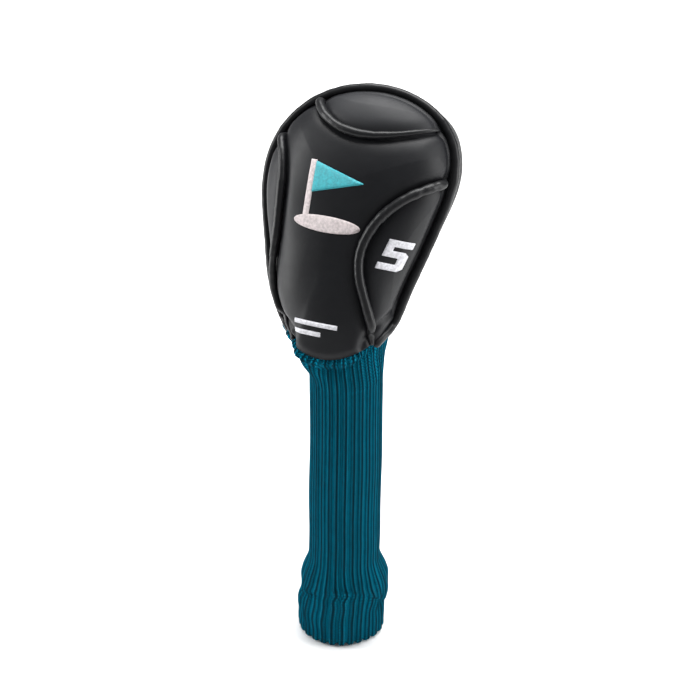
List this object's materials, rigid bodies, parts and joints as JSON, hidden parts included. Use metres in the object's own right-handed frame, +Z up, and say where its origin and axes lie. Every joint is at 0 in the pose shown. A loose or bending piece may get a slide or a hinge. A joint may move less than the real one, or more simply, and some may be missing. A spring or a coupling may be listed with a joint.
{
  "type": "golf club head cover",
  "caption": "Padded leather head cover for a fairway wood, with piped panels, an embroidered face and a long ribbed knit sock.",
  "frame": {"origin": "centre of the neck on the sock's axis, where the knit is sewn into the padded shell", "axes": "+Z up the sock towards the shell, -Y towards the embroidered face, +X to the side that carries the number"},
  "size_m": [0.1126, 0.1112, 0.3259],
  "materials": {
    "leather": "smooth padded synthetic leather",
    "leather_panel": "smooth synthetic leather, slightly greyer",
    "welt": "leather piping",
    "gusset_cloth": "woven nylon",
    "foam": "soft foam padding",
    "lining": "brushed fleece",
    "cord": "cotton filler cord",
    "knit": "teal rib knit",
    "elastic": "covered elastic",
    "thread_silver": "silver grey satin stitch",
    "thread_teal": "turquoise satin stitch"
  },
  "bodies": {
    "shell": {"front_centre_panel": "leather", "toe_panel": "leather_panel", "left_side_panel": "leather_panel", "right_side_panel": "leather_panel", "toe_welt": "welt", "left_welt": "welt", "right_welt": "welt", "rim_piping": "welt", "toe_welt_cord": "cord", "left_welt_cord": "cord", "right_welt_cord": "cord", "rim_cord": "cord", "side_gusset": "gusset_cloth", "back_panel": "leather", "front_centre_foam": "foam", "toe_foam": "foam", "left_foam": "foam", "right_foam": "foam", "gusset_foam": "foam", "back_foam": "foam", "front_lining": "lining", "gusset_lining": "lining", "back_lining": "lining", "emblem_pole": "thread_silver", "emblem_pennant": "thread_teal", "number_five": "thread_silver", "stitched_bar_upper": "thread_silver", "stitched_bar_lower": "thread_silver", "sock_top_band": "knit", "neck_elastic": "elastic"},
    "sock": {"sock_tube": "knit", "cuff": "knit", "cuff_elastic": "elastic"}
  },
  "joints": [
    {"name": "neck_nod", "type": "hinge", "parent": "shell", "child": "sock", "pos_m": [0, 0, 0], "axis": [1, 0, 0], "range_deg": [-35, 30]}
  ]
}
